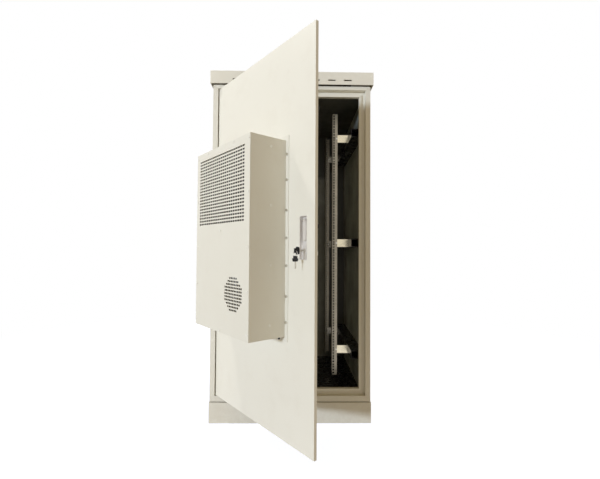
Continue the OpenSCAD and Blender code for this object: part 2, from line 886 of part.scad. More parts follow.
module rail() {
    bolts = [for (z = beam_zs())
        centred_hole(rack_bolt_x - rail_x0, z - rail_z0, rack_neck + 2 * neck_gap, rack_neck + 2 * neck_gap)];
    face = [for (z = hole_zs()) centred_hole(rail_inner, z, hole_side, hole_side)];
    side = [for (z = hole_zs()) centred_hole(rail_side_hole, z, hole_side, hole_side)];
    translate([rail_x0, rail_y, rail_z0]) {
        front_plate([rail_face, rail_h], concat(face, bolts), rail_sheet);
        side_plate([rail_side, rail_h], side, rail_sheet);
    }
}

module rail_front_left() {
    color("tan") mirror([1, 0, 0]) rail();
}

module rail_front_right() {
    color("tan") rail();
}

module rail_rear_left() {
    color("tan") mirror([1, 0, 0]) mirror([0, 1, 0]) rail();
}

module rail_rear_right() {
    color("tan") mirror([0, 1, 0]) rail();
}

module rack_beams() {
    color("tan") for (z = beam_zs()) both_sides()
        translate([beam_x, 0, z - beam_h / 2])
            channel(beam_h, foam_x - beam_x, beam_sheet, body_d - 2 * beam_end);
}

module rail_brackets() {
    x0 = rail_x1 - bracket_lap;
    neck = rack_neck + 2 * neck_gap;
    color("tan") for (z = beam_zs()) both_sides() front_and_rear()
        translate([0, rail_y + rail_sheet, z - beam_h / 2]) {
            translate([x0, 0, 0])
                front_plate([beam_x - x0, beam_h], [centred_hole(rack_bolt_x - x0, beam_h / 2, neck, neck)],
                    bracket_t);
            box([beam_x - bracket_t, 0, 0], [bracket_t, bracket_side, beam_h]);
        }
}

module rack_bolts() {
    l = rail_sheet + bracket_t + rack_head_h;
    color("silver") for (z = beam_zs()) both_sides() front_and_rear()
        translate([rack_bolt_x, rail_y, z]) {
            translate([0, -rack_head_h, 0]) rotate([-90, 0, 0])
                cylinder(r = rack_head_r, h = rack_head_h, $fn = 6);
            box([-rack_neck / 2, 0, -rack_neck / 2], [rack_neck, l, rack_neck]);
        }
}

// Hinges

module hinge_frame_leaves() {
    color("silver") on_shut_door() for (z = hinge_zs)
        translate([pivot_u, pivot_in, z - frame_knuckle / 2])
            difference() {
                union() {
                    cylinder(r = knuckle_r, h = frame_knuckle);
                    box([-leaf_t / 2, 0, 0], [leaf_t, groove_in - pivot_in, frame_knuckle]);
                    box([-foot_w / 2 - pin_r, groove_in - pivot_in - leaf_t, 0],
                        [foot_w, leaf_t, frame_knuckle]);
                }
                translate([0, 0, -cut]) cylinder(r = pin_r + pin_fit, h = frame_knuckle + 2 * cut);
            }
}

module hinge_door_leaves() {
    color("silver") on_door() for (z = hinge_zs) for (s = [0, 1])
        translate([pivot_u, pivot_in, z - s * door_knuckle - (2 * s - 1) * (frame_knuckle / 2 + knuckle_gap)])
            difference() {
                union() {
                    cylinder(r = knuckle_r, h = door_knuckle);
                    box([door_sheet + knuckle_gap - pivot_u, door_sheet - pivot_in, 0],
                        [leaf_w, leaf_t, door_knuckle]);
                }
                translate([0, 0, -cut]) cylinder(r = pin_r + pin_fit, h = door_knuckle + 2 * cut);
            }
}

module hinge_pins() {
    l = frame_knuckle + 2 * (door_knuckle + knuckle_gap);
    color("silver") on_shut_door() for (z = hinge_zs)
        translate([pivot_u, pivot_in, z - l / 2]) {
            cylinder(r = pin_r, h = l + knuckle_gap);
            translate([0, 0, l + knuckle_gap]) cylinder(r = pin_head_r, h = pin_head_h);
        }
}

// Door

function tray_hole() = [
    ac_u + tray_inset - tray_fit, ac_up + tray_inset - tray_fit, tray_w + 2 * tray_fit, tray_h + 2 * tray_fit
];

function pan_hole(fit) = centred_hole(lock_u, lock_up,
    recess_pan_w + 2 * pan_t + 2 * fit, recess_pan_h + 2 * pan_t + 2 * fit);

function bolt_places() = concat(
    [for (a = [-bolt_out, ac_w + bolt_out]) for (c = side_bolt_shares) [a, ac_h / 2 + c * ac_h]],
    [for (c = [-bolt_out, ac_h + bolt_out]) for (i = [0:end_bolts - 1])
        [ac_w / 2 + (i - (end_bolts - 1) / 2) * end_bolt_pitch, c]]);

function bolt_holes(x, z) = [for (p = bolt_places())
    centred_hole(x + p[0], z + p[1], bolt_neck + 2 * neck_gap, bolt_neck + 2 * neck_gap)];

module door_skin() {
    color("whitesmoke") on_door() translate([0, 0, door_z0]) {
        front_plate([door_w, door_h],
            concat([tray_hole(), pan_hole(pan_fit)], bolt_holes(ac_u, ac_up)), door_sheet);
        difference() {
            box([0, 0, 0], [door_sheet, hinge_return, door_h]);
            for (z = hinge_zs)
                box([-cut, door_sheet, z - door_z0 - frame_knuckle / 2 - notch_gap],
                    [door_sheet + 2 * cut, hinge_return, frame_knuckle + 2 * notch_gap]);
        }
        box([door_w - door_sheet, 0, 0], [door_sheet, door_t, door_h]);
        for (z = [0, door_h - door_sheet])
            box([0, 0, z], [door_w, door_t, door_sheet]);
    }
}

module door_liner() {
    x0 = seal_w + liner_gap - door_gap_side;
    z0 = seal_w + liner_gap - door_gap_end;
    holes = [for (h = [tray_hole(), pan_hole(liner_gap)]) [h[0] - x0, h[1] - z0, h[2], h[3]]];
    bolts = [for (h = bolt_holes(ac_u, ac_up))
        [h[0] - x0 - bolt_neck / 2, h[1] - z0 - bolt_neck / 2, h[2] + bolt_neck, h[3] + bolt_neck]];
    color("dimgray") on_door() translate([x0, door_sheet, door_z0 + z0])
        front_plate([door_w - 2 * x0, door_h - 2 * z0], concat(holes, bolts), liner_t);
}

module door_gasket() {
    x0 = groove_w + gasket_inset - door_gap_side;
    z0 = groove_w + gasket_inset - door_gap_end;
    w = lip_w - 2 * gasket_inset;
    size = [door_w - 2 * x0, door_h - 2 * z0];
    color("black") on_door() translate([x0, door_sheet, door_z0 + z0])
        front_plate(size, [[w, w, size[0] - 2 * w, size[1] - 2 * w]], lip_in - gasket_gap - door_sheet);
}

// Lock

module lock_pan() {
    w = recess_pan_w;
    h = recess_pan_h;
    color("silver") on_lock() difference() {
        union() {
            box([-pan_w / 2, -pan_t, -pan_h / 2], [pan_w, pan_t, pan_h]);
            box([-w / 2 - pan_t, -pan_t, -h / 2 - pan_t], [w + 2 * pan_t, pan_in + pan_t, h + 2 * pan_t]);
        }
        box([-w / 2, -pan_t - cut, -h / 2 + block_h], [w, pan_in + cut, h - block_h]);
        box([-w / 2, -pan_t - cut, -h / 2], [w, pan_t + cut + block_in, h]);
        translate([0, -cut, -key_down]) rod_y(barrel_r + barrel_fit, pan_in + 2 * cut);
        translate([-w, lever_pin_in, lever_pin_up]) rod_x(lever_pin_r + pin_fit, 2 * w);
    }
}

module lock_barrel() {
    color("lightgray") on_key() difference() {
        union() {
            translate([0, block_in - collar_t, 0]) rod_y(collar_r, collar_t);
            translate([0, block_in, 0]) rod_y(barrel_r, barrel_in - block_in);
        }
        translate([0, -cut, 0]) rod_y(plug_r + pin_fit, barrel_in + 2 * cut);
    }
}

module lever_pin() {
    l = recess_pan_w + 2 * pan_t;
    color("silver") on_lock() translate([-l / 2, lever_pin_in, lever_pin_up]) rod_x(lever_pin_r, l);
}

module lock_lever() {
    l = lever_pin_up + lever_tip - lever_t / 2;
    color("lightgray") on_lock() translate([-lever_w / 2, 0, lever_pin_up]) difference() {
        union() {
            translate([0, lever_pin_in, 0]) rod_x(lever_top_r, lever_w);
            box([0, lever_in, -l], [lever_w, lever_t, l]);
            translate([0, lever_in + lever_t / 2, -l]) rod_x(lever_t / 2, lever_w);
        }
        translate([-cut, lever_pin_in, 0]) rod_x(lever_pin_r + pin_fit, lever_w + 2 * cut);
    }
}

module lock_plug() {
    color("gold") on_key() difference() {
        union() {
            translate([0, plug_front, 0]) rod_y(plug_r, barrel_in + plug_past - plug_front);
            box([-tail_side / 2, barrel_in, -tail_side / 2],
                [tail_side, cam_in + cam_t - barrel_in, tail_side]);
        }
        box([-blade_t / 2 - blade_fit, -cut, -blade_h / 2 - blade_fit],
            [blade_t + 2 * blade_fit, blade_in + blade_fit + cut, blade_h + 2 * blade_fit]);
    }
}

module lock_cam() {
    side = tail_side + 2 * blade_fit;
    color("silver") on_key() difference() {
        union() {
            translate([0, cam_in, 0]) rod_y(cam_r, cam_t);
            box([-tongue_w / 2, cam_in, -tongue_l], [tongue_w, cam_t, tongue_l]);
            for (s = [-1, 1])
                translate([s * cam_pin_off, cam_in, -s * cam_pin_off]) rod_y(cam_pin_r, cam_t + cam_pin_l);
        }
        box([-side / 2, cam_in - cut, -side / 2], [side, cam_t + 2 * cut, side]);
    }
}

// A flat rod with a slotted eye around the cam's pin; s is 1 for the upper rod, -1 for the lower one
module lock_rod(s, tip) {
    slot_w = cam_pin_reach - cam_pin_off + 2 * cam_pin_r + 2 * eye_gap;
    slot_h = 2 * cam_pin_r + 2 * eye_gap;
    pin_z = key_z - s * cam_pin_off;
    translate([lock_u + s * rod_off, rod_in, 0]) difference() {
        union() {
            box([-rod_w / 2, 0, min(pin_z, tip)], [rod_w, rod_t, abs(tip - pin_z)]);
            box([-eye_w / 2, 0, pin_z - eye_h / 2], [eye_w, rod_t, eye_h]);
        }
        box([-slot_w / 2, -cut, pin_z - slot_h / 2], [slot_w, rod_t + 2 * cut, slot_h]);
    }
}

module upper_lock_rod() {
    color("silver") on_door() lock_rod(1, rod_top);
}

module lower_lock_rod() {
    color("silver") on_door() lock_rod(-1, rod_bottom);
}

module rod_guides() {
    y0 = door_sheet + liner_t;
    w = rod_w + 2 * guide_fit;
    t = rod_t + 2 * guide_fit;
    places = [
        [1, key_z + guide_near], [1, rod_top - guide_far],
        [-1, key_z - guide_near], [-1, rod_bottom + guide_far]
    ];
    color("dimgray") on_door() for (p = places)
        translate([lock_u + p[0] * rod_off, 0, p[1] - guide_h / 2]) difference() {
            box([-guide_w / 2, y0, 0], [guide_w, rod_in + rod_t + guide_wall - y0, guide_h]);
            box([-w / 2, rod_in - guide_fit, -cut], [w, t, guide_h + 2 * cut]);
        }
}

// Keys

// Disc with two straight edges, lower at the ring's end; the blade leaves it towards +Y
module key_disc() {
    difference() {
        translate([-head_t / 2, 0, 0]) rod_x(head_r, head_t);
        for (y = [-head_l / 2 - head_r, head_l / 2])
            box([-head_t, y, -2 * head_r], [2 * head_t, head_r, 4 * head_r]);
        for (z = [-2 * head_r, head_end / 2])
            box([-head_t, -2 * head_r, z], [2 * head_t, 2 * head_r - head_step, 2 * head_r - head_end / 2]);
        translate([-head_t, -ring_hole_off, 0]) rod_x(ring_hole_r, 2 * head_t);
        box([-blade_t / 2 - blade_fit, head_l / 2 - blade_root, -blade_h / 2 - blade_fit],
            [blade_t + 2 * blade_fit, 2 * blade_root, blade_h + 2 * blade_fit]);
    }
}

// Blade in the disc's place: from inside the head to l beyond its edge
module key_bar(l) {
    box([-blade_t / 2, head_l / 2 - blade_root + blade_fit, -blade_h / 2],
        [blade_t, blade_root - blade_fit + l, blade_h]);
}

module in_lock() {
    on_key() translate([0, -head_out, 0]) children();
}

module as_spare() {
    on_key() translate([0, -hole_out, -2 * ring_r - ring_hole_off]) rotate([-90, 0, spare_twist]) children();
}

module key_blade() {
    color("silver") in_lock() key_bar(head_out - head_l / 2 + blade_in);
}

module key_head() {
    color("black") in_lock() key_disc();
}

module key_ring() {
    color("silver") on_key() translate([0, -hole_out, -ring_r]) rotate([90, 0, 0])
        rotate_extrude() translate([ring_r, 0]) circle(r = wire_r);
}

module spare_key_blade() {
    color("silver") as_spare() key_bar(blade_free);
}

module spare_key_head() {
    color("black") as_spare() key_disc();
}

// Air conditioner: tray, cover and their fasteners

function round_grille(a, c) = let (n = floor(fan_grille_r / fan_pitch)) [
    for (i = [-n:n]) for (j = [-n:n])
        if (norm([abs(i) * fan_pitch + fan_hole_w / 2, j * fan_pitch]) <= fan_grille_r)
            centred_hole(a + i * fan_pitch, c + j * fan_pitch, fan_hole_w, fan_hole_h)
];

function slot_grille() = [for (i = [0:grille_cols - 1]) for (j = [0:grille_rows - 1])
    [grille_left + i * grille_col_pitch, grille_up + j * grille_row_pitch, grille_slot_w, grille_slot_h]];

function screw_places() = concat(
    [for (a = [screw_side, ac_w - screw_side]) for (c = screw_up_shares) [a, c * ac_h]],
    [for (a = screw_top_shares) [a * ac_w, ac_h - screw_end]],
    [[ac_w / 2, screw_mid_up], [ac_w / 2, screw_end]]);

module ac_tray() {
    louvres = [for (i = [0:louvre_count - 1])
        [(tray_w - louvre_w) / 2, louvre_up - tray_inset + i * louvre_pitch, louvre_w, louvre_h]];
    hole = [ac_flange + tray_inset + ac_sheet, ac_flange + tray_inset + ac_sheet,
        tray_w - 2 * ac_sheet, tray_h - 2 * ac_sheet];
    color("gainsboro") on_ac() {
        translate([-ac_flange, -ac_flange_t, -ac_flange])
            front_plate([flange_w, flange_h], concat([hole], bolt_holes(ac_flange, ac_flange)), ac_flange_t);
        translate([tray_inset, -ac_flange_t, tray_inset])
            front_plate([tray_w, tray_h],
                [[ac_sheet, ac_sheet, tray_w - 2 * ac_sheet, tray_h - 2 * ac_sheet]], ac_in + ac_flange_t);
        translate([tray_inset, ac_in - ac_sheet, tray_inset])
            front_plate([tray_w, tray_h],
                concat(louvres, round_grille(room_fan_a - tray_inset, room_fan_up - tray_inset)), ac_sheet);
    }
}

function screw_holes(places) = [for (p = places)
    centred_hole(p[0], p[1], screw_neck + 2 * neck_gap, screw_neck + 2 * neck_gap)];

module ac_casing() {
    l = ac_out - ac_sheet - ac_flange_t;
    flanks = screw_holes([for (c = flank_shares) [ac_out - ac_sheet - flank_out, c * ac_h]]);
    rim = [casing_rim, casing_rim, ac_w - 2 * casing_rim, ac_h - 2 * casing_rim];
    drain = centred_hole(ac_w - spout_side, ac_out - ac_sheet - spout_out, spout_bore_r, spout_bore_r);
    edge_screws = [for (p = screw_places()) if (p[1] != screw_mid_up) p];
    color("whitesmoke") on_ac() translate([0, -ac_out + ac_sheet, 0]) {
        front_plate([ac_w, ac_h], concat([rim], screw_holes(edge_screws)), ac_sheet);
        for (a = [0, ac_w - ac_sheet])
            translate([a, 0, 0]) side_plate([l, ac_h], flanks, ac_sheet);
        plate([ac_w, l], [drain], ac_sheet);
        translate([0, 0, ac_h - ac_sheet]) plate([ac_w, l], [], ac_sheet);
    }
}

module ac_front_panel() {
    color("whitesmoke") on_ac() translate([0, -ac_out, 0])
        front_plate([ac_w, ac_h],
            concat(slot_grille(), round_grille(fan_a, fan_up), screw_holes(screw_places())), ac_sheet);
}

module ac_flange_bolts() {
    color("silver") on_ac() for (p = bolt_places()) translate([p[0], -ac_flange_t, p[1]]) {
        translate([0, -bolt_head_h, 0]) rotate([-90, 0, 0])
            cylinder(r = bolt_head_r, h = bolt_head_h, $fn = 6);
        box([-bolt_neck / 2, 0, -bolt_neck / 2], [bolt_neck, ac_flange_t + bolt_in, bolt_neck]);
    }
}

// One screw, its head towards -Y and its neck behind the sheet's face at Y = 0
module cover_screw() {
    translate([0, -screw_head_h, 0]) rod_y(screw_head_r, screw_head_h);
    box([-screw_neck / 2, 0, -screw_neck / 2], [screw_neck, screw_l, screw_neck]);
}

module ac_cover_screws() {
    color("silver") on_ac() {
        for (p = screw_places()) translate([p[0], -ac_out, p[1]]) cover_screw();
        for (c = flank_shares) {
            translate([0, -flank_out, c * ac_h]) rotate([0, 0, -90]) cover_screw();
            translate([ac_w, -flank_out, c * ac_h]) rotate([0, 0, 90]) cover_screw();
        }
    }
}

// Air conditioner: inside

module ac_partition() {
    gap = ac_sheet + part_fit;
    color("gainsboro") on_ac()
        box([gap, part_y, gap], [ac_w - 2 * gap, part_t, ac_h - 2 * gap]);
}

// Finned block between end plates; the grooves are in its face at y = 0
module coil(w, h, t, depth) {
    difference() {
        cube([w, t, h]);
        for (i = [1:fin_count])
            box([i * w / (fin_count + 1) - fin_gap / 2, -cut, -cut], [fin_gap, fin_in + cut, h + 2 * cut]);
    }
    for (x = [-coil_plate, w])
        box([x, 0, 0], [coil_plate, depth, h]);
}

module condenser_coil() {
    color("silver") on_ac() translate([coil_side, coil_y0, coil_up])
        coil(coil_w, coil_h, coil_t, part_y - coil_y0);
}

module evaporator_coil() {
    color("silver") on_ac() translate([evap_side + evap_w, -part_out + evap_t + coil_plate, evap_up])
        rotate([0, 0, 180]) coil(evap_w, evap_h, evap_t, evap_t + coil_plate);
}

module compressor() {
    color("dimgray") on_ac() translate([comp_a, -comp_out, comp_up]) {
        box([-comp_r, -comp_r, 0], [2 * comp_r, comp_out + comp_r + part_y, comp_base]);
        cylinder(r = comp_r, h = comp_h);
        translate([0, 0, comp_h]) cylinder(r1 = comp_r, r2 = comp_top_share * comp_r, h = comp_dome);
        translate([accu_a - comp_a, 0, comp_base]) cylinder(r = accu_r, h = accu_h);
        box([0, -accu_r / 2, 0], [accu_a - comp_a, accu_r, 2 * comp_base]);
    }
}

// A fan blows along y; its face lies in y = 0 and its motor behind
module fan_frame() {
    reach = (fan_side / 2 + duct_r) / 2;
    difference() {
        union() {
            difference() {
                box([-fan_side / 2, 0, -fan_side / 2], [fan_side, fan_l, fan_side]);
                translate([0, -cut, 0]) rod_y(duct_r, fan_l + 2 * cut);
            }
            box([-reach, fan_l - strut_l, -strut_h / 2], [2 * reach, strut_l, strut_h]);
            box([-strut_h / 2, fan_l - strut_l, -reach], [strut_h, strut_l, 2 * reach]);
            translate([0, fan_l - motor_l, 0]) rod_y(motor_r, motor_l);
        }
        translate([0, fan_l - motor_l - cut, 0]) rod_y(shaft_r + pin_fit, motor_l + 2 * cut);
    }
}

module impeller() {
    l = fan_l - motor_l - hub_gap - hub_in;
    translate([0, hub_in, 0]) {
        rod_y(hub_r, l);
        translate([0, l, 0]) rod_y(shaft_r, motor_l);
        for (i = [0:fan_blades - 1])
            rotate([0, i * 360 / fan_blades, 0]) translate([0, l / 2, 0]) rotate([fan_blade_pitch, 0, 0])
                box([hub_r / 2, -fan_blade_t / 2, -fan_chord / 2],
                    [fan_tip - hub_r / 2, fan_blade_t, fan_chord]);
    }
}

module at_condenser_fan() {
    on_ac() translate([fan_a, fan_y, fan_up]) children();
}

module at_room_fan() {
    on_ac() translate([room_fan_a, room_fan_y, room_fan_up]) rotate([0, 0, 180]) children();
}

module condenser_fan_frame() {
    color("dimgray") at_condenser_fan() fan_frame();
}

module condenser_fan() {
    color("black") at_condenser_fan() impeller();
}

module room_fan_frame() {
    color("dimgray") at_room_fan() fan_frame();
}

module room_fan() {
    color("black") at_room_fan() impeller();
}

module ac_control_box() {
    color("lightgray") on_ac() box([box_a, part_y - box_l, box_up], [box_w, box_l, box_h]);
}

module pipe_run(points) {
    for (i = [0:len(points) - 2]) {
        d = points[i + 1] - points[i];
        turn = [0, acos(d[2] / norm(d)), atan2(d[1], d[0])];
        translate(points[i]) rotate(turn) cylinder(r = pipe_r, h = norm(d));
        if (i > 0) translate(points[i]) sphere(r = pipe_r);
    }
}

module refrigerant_pipes() {
    coil_y = coil_y0 + coil_t / 2;
    comp_top = comp_up + comp_h + comp_dome;
    accu_top = comp_up + comp_base + accu_h;
    liquid_a = coil_side + coil_w - pipe_inset;
    turn_up = comp_top + pipe_turn_share * (coil_up - comp_top);
    liquid_up = coil_up - box_gap / 2;
    color("chocolate") on_ac() {
        pipe_run([
            [comp_a, -comp_out, comp_top], [comp_a, -comp_out, turn_up],
            [comp_a, coil_y, turn_up], [comp_a, coil_y, coil_up]
        ]);
        pipe_run([
            [liquid_a, coil_y, coil_up], [liquid_a, coil_y, liquid_up], [liquid_a, part_y, liquid_up]
        ]);
        pipe_run([
            [accu_a, -comp_out, accu_top], [accu_a, -comp_out, accu_top + pipe_rise],
            [accu_a, part_y, accu_top + pipe_rise]
        ]);
    }
}

module drain_spout() {
    color("dimgray") on_ac() translate([ac_w - spout_side, -spout_out, 0]) difference() {
        union() {
            translate([0, 0, -spout_flange_t]) cylinder(r = spout_flange_r, h = spout_flange_t);
            translate([0, 0, -spout_l]) cylinder(r = spout_r, h = spout_l);
        }
        translate([0, 0, -spout_l - cut]) cylinder(r = spout_bore_r, h = spout_l + 2 * cut);
    }
}

plinth_side_channels();
plinth_end_covers();
floor_panel();
cable_grommets();
left_side_panel();
right_side_panel();
rear_panel();
roof_panel();
roof_bearers();
roof_cap();
side_insulation();
rear_insulation();
ceiling_insulation();
frame_left();
frame_right();
frame_top();
frame_bottom();
rail_front_left();
rail_front_right();
rail_rear_left();
rail_rear_right();
rack_beams();
rail_brackets();
rack_bolts();
hinge_frame_leaves();
hinge_pins();
door_skin();
door_liner();
door_gasket();
hinge_door_leaves();
lock_pan();
lock_barrel();
lever_pin();
rod_guides();
lock_lever();
lock_plug();
lock_cam();
key_blade();
key_head();
upper_lock_rod();
lower_lock_rod();
key_ring();
spare_key_blade();
spare_key_head();
ac_tray();
ac_casing();
ac_front_panel();
ac_flange_bolts();
ac_cover_screws();
ac_partition();
condenser_coil();
evaporator_coil();
compressor();
condenser_fan_frame();
room_fan_frame();
condenser_fan();
room_fan();
ac_control_box();
refrigerant_pipes();
drain_spout();
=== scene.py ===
"""Looks of the roadside utility cabinet: finishes, rounded sheet-metal edges, light and camera.

Lengths are in metres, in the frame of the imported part: X right, Y back, Z up.
"""
import json
import math

import bmesh
import bpy
from mathutils import Matrix, Vector


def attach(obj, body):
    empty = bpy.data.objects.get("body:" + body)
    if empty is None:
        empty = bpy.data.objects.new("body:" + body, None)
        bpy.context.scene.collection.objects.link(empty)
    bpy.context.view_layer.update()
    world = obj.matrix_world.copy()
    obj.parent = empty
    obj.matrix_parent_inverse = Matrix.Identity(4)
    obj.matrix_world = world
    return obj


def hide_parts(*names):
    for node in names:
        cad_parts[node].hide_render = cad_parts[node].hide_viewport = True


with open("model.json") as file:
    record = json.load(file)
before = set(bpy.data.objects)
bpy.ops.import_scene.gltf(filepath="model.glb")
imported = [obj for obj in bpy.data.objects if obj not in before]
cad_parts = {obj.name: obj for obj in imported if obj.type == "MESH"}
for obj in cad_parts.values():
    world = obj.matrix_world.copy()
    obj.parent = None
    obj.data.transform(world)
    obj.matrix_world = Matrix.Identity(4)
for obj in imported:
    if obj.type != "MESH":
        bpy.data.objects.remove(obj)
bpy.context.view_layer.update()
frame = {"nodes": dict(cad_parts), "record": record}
NODES = frame["nodes"]
BODIES = frame["record"]["behaviour"]["bodies"]
BODY_OF = {node: body for body, nodes in BODIES.items() for node in nodes}
SLOT_OF = {row["node"]: row["material_slot"] for row in frame["record"]["subparts"]}

# Camera, fitted to the corners of the cabinet, the door and the unit in the photograph
IMAGE_WIDTH = 600
FOCAL_PIXELS = 364.2
SENSOR_WIDTH = 36.0
CAMERA_AT = Vector((0.0139, -2.233, 0.856))
CAMERA_YAW = math.radians(-0.95)
CAMERA_PITCH = math.radians(1.73)
CAMERA_ROLL = math.radians(0.35)

# Finishes, as linear colours
CABINET_CREAM = (0.80, 0.775, 0.685)
UNIT_CREAM = (0.75, 0.727, 0.64)
# A lighter cream, painted light on the roof cap and the top member of the front frame
CREAM_WITH_PAINTED_LIGHT = (0.87, 0.845, 0.75)
# A dust colour: dirt on several finishes, and painted shade in the corners of the powder coat
DUST_AND_SHADE = (0.42, 0.36, 0.27)
ZINC_PALE = (0.29, 0.26, 0.195)
ZINC_DEEP = (0.20, 0.175, 0.13)
RAIL_PALE = (0.38, 0.34, 0.26)
RAIL_DEEP = (0.28, 0.245, 0.185)
BRIGHT_ZINC = (0.71, 0.63, 0.45)
# Darker zinc, painted shade on the brackets at the back of the cabinet
ZINC_IN_PAINTED_SHADE = (0.20, 0.18, 0.14)
FOAM_BLACK = (0.080, 0.080, 0.066)
# Rear and side foam: the same insulation as the dark foam, made lighter as painted light inside the cabinet
FOAM_GREY_PAINTED_LIGHT = (0.38, 0.40, 0.37)
FOAM_LIGHT_GREY_PAINTED_LIGHT = (0.46, 0.49, 0.45)
FOAM_PALE = (0.70, 0.66, 0.58)
RUBBER_BLACK = (0.02, 0.02, 0.02)
BOLT_STEEL = (0.62, 0.59, 0.52)
SCREW_PALE = (0.82, 0.80, 0.73)
STAINLESS = (0.78, 0.745, 0.70)
PLASTIC_BLACK = (0.006, 0.006, 0.0065)
FIN_GREY = (0.16, 0.155, 0.145)
ENAMEL_BLACK = (0.02, 0.02, 0.022)
COPPER = (0.72, 0.36, 0.20)
WHITE = (1.0, 1.0, 1.0)

# Where a finish changes: from the middle plane and above the ground, where painted shade darkens the rear
# foam; from front to back, where painted shade darkens the rear brackets; and near the ground, where dust
# is splashed
REAR_SHADE_SIDES = (0.17, 0.27)
REAR_SHADE_TOP = (1.36, 1.39)
BRACKET_SHADE_HALF = (-0.1, 0.1)
SPLASH_HEIGHT = (0.0, 0.16)

# How near two faces lie in a corner that is darkened as painted shade, and how many rays look for them
CORNER_REACH = 0.008
CORNER_SAMPLES = 6

# How close together lines on a finish lie along X, Y and Z: they run along the axis with the least
GRAIN_EVEN = (120.0, 120.0, 120.0)
GRAIN_UPRIGHT = (400.0, 400.0, 60.0)
GRAIN_FINE_UPRIGHT = (900.0, 900.0, 25.0)
GRAIN_LEVEL = (60.0, 400.0, 400.0)
SCRATCHES_UPRIGHT = (30.0, 30.0, 1.0)
STREAKS_UPRIGHT = (6.0, 6.0, 0.5)

# How close together the fins of the coils lie along X, as the scale of a wave
FIN_WAVES = 180.0

# Radius of the rounded edges, by how stout the sheet is
EDGE_FINE = 0.0006
EDGE_THIN = 0.0007
EDGE_PANEL = 0.0008
EDGE_STOUT = 0.0009
EDGE_HEAVY = 0.0012

ROUNDED_EDGES = {
    "plinth_side_channels": EDGE_HEAVY,
    "plinth_end_covers": EDGE_HEAVY,
    "left_side_panel": EDGE_PANEL,
    "right_side_panel": EDGE_PANEL,
    "rear_panel": EDGE_PANEL,
    "roof_cap": EDGE_STOUT,
    "frame_left": EDGE_PANEL,
    "frame_right": EDGE_PANEL,
    "frame_top": EDGE_PANEL,
    "frame_bottom": EDGE_PANEL,
    "door_skin": EDGE_STOUT,
    "ac_casing": EDGE_THIN,
    "ac_tray": EDGE_FINE,
    "lock_pan": EDGE_FINE,
    "lock_lever": EDGE_HEAVY,
    "key_head": EDGE_STOUT,
    "spare_key_head": EDGE_STOUT,
    "rail_brackets": EDGE_THIN,
    "rack_beams": EDGE_PANEL,
}

# The unit's front panel is rounded on its outline only: the edges of its grilles are shorter than this
PANEL_OUTLINE = 0.1

# How an edge is found and rounded
SHARP = math.radians(30.0)
FLAT = math.radians(1.0)
WELD = 1e-6
EDGE_SEGMENTS = 2
ROUND_PROFILE = 0.5

# Light all round
AMBIENT = (1.0, 0.774, 0.45)
AMBIENT_STRENGTH = 0.39
WHITE_STRENGTH = 1.0

# Lamps: each comes from so many degrees left of the front and above the level.
# One that is some metres away is a disc, with its width in metres.
# One with no distance is a sun, with its width in degrees.
LAMPS = {
    "daylight": {
        "from": (43.5, 9.6),
        "away": 30.0,
        "width": 2.6,
        "strength": 5600.0,
        "colour": (0.76, 0.86, 1.0),
    },
    "ceiling_light": {
        "from": (78.4, 59.9),
        "away": 4.51,
        "width": 0.22,
        "strength": 27.0,
        "colour": (1.0, 0.99, 0.97),
    },
    "rear_light": {
        "from": (205.0, 5.0),
        "width": 4.0,
        "strength": 1.5,
        "colour": (0.88, 0.95, 1.0),
        "glint": False,
    },
}

# Floor: its colour in the light that it throws back, and its colour and glow to the eye.
# It fades to plain white between the two distances of SHADOW_REACH.
FLOOR_SIZE = 40.0
FLOOR_PALE = (0.80, 0.795, 0.78)
FLOOR_SEEN = (0.40, 0.47, 0.74)
FLOOR_GLOW = 0.86
SHADOW_REACH = (1.6, 3.2)


# Node helpers

def shade(colour, factor=1.0):
    """The colour made lighter or darker, with an alpha of 1."""
    return (*[min(1.0, channel * factor) for channel in colour], 1.0)


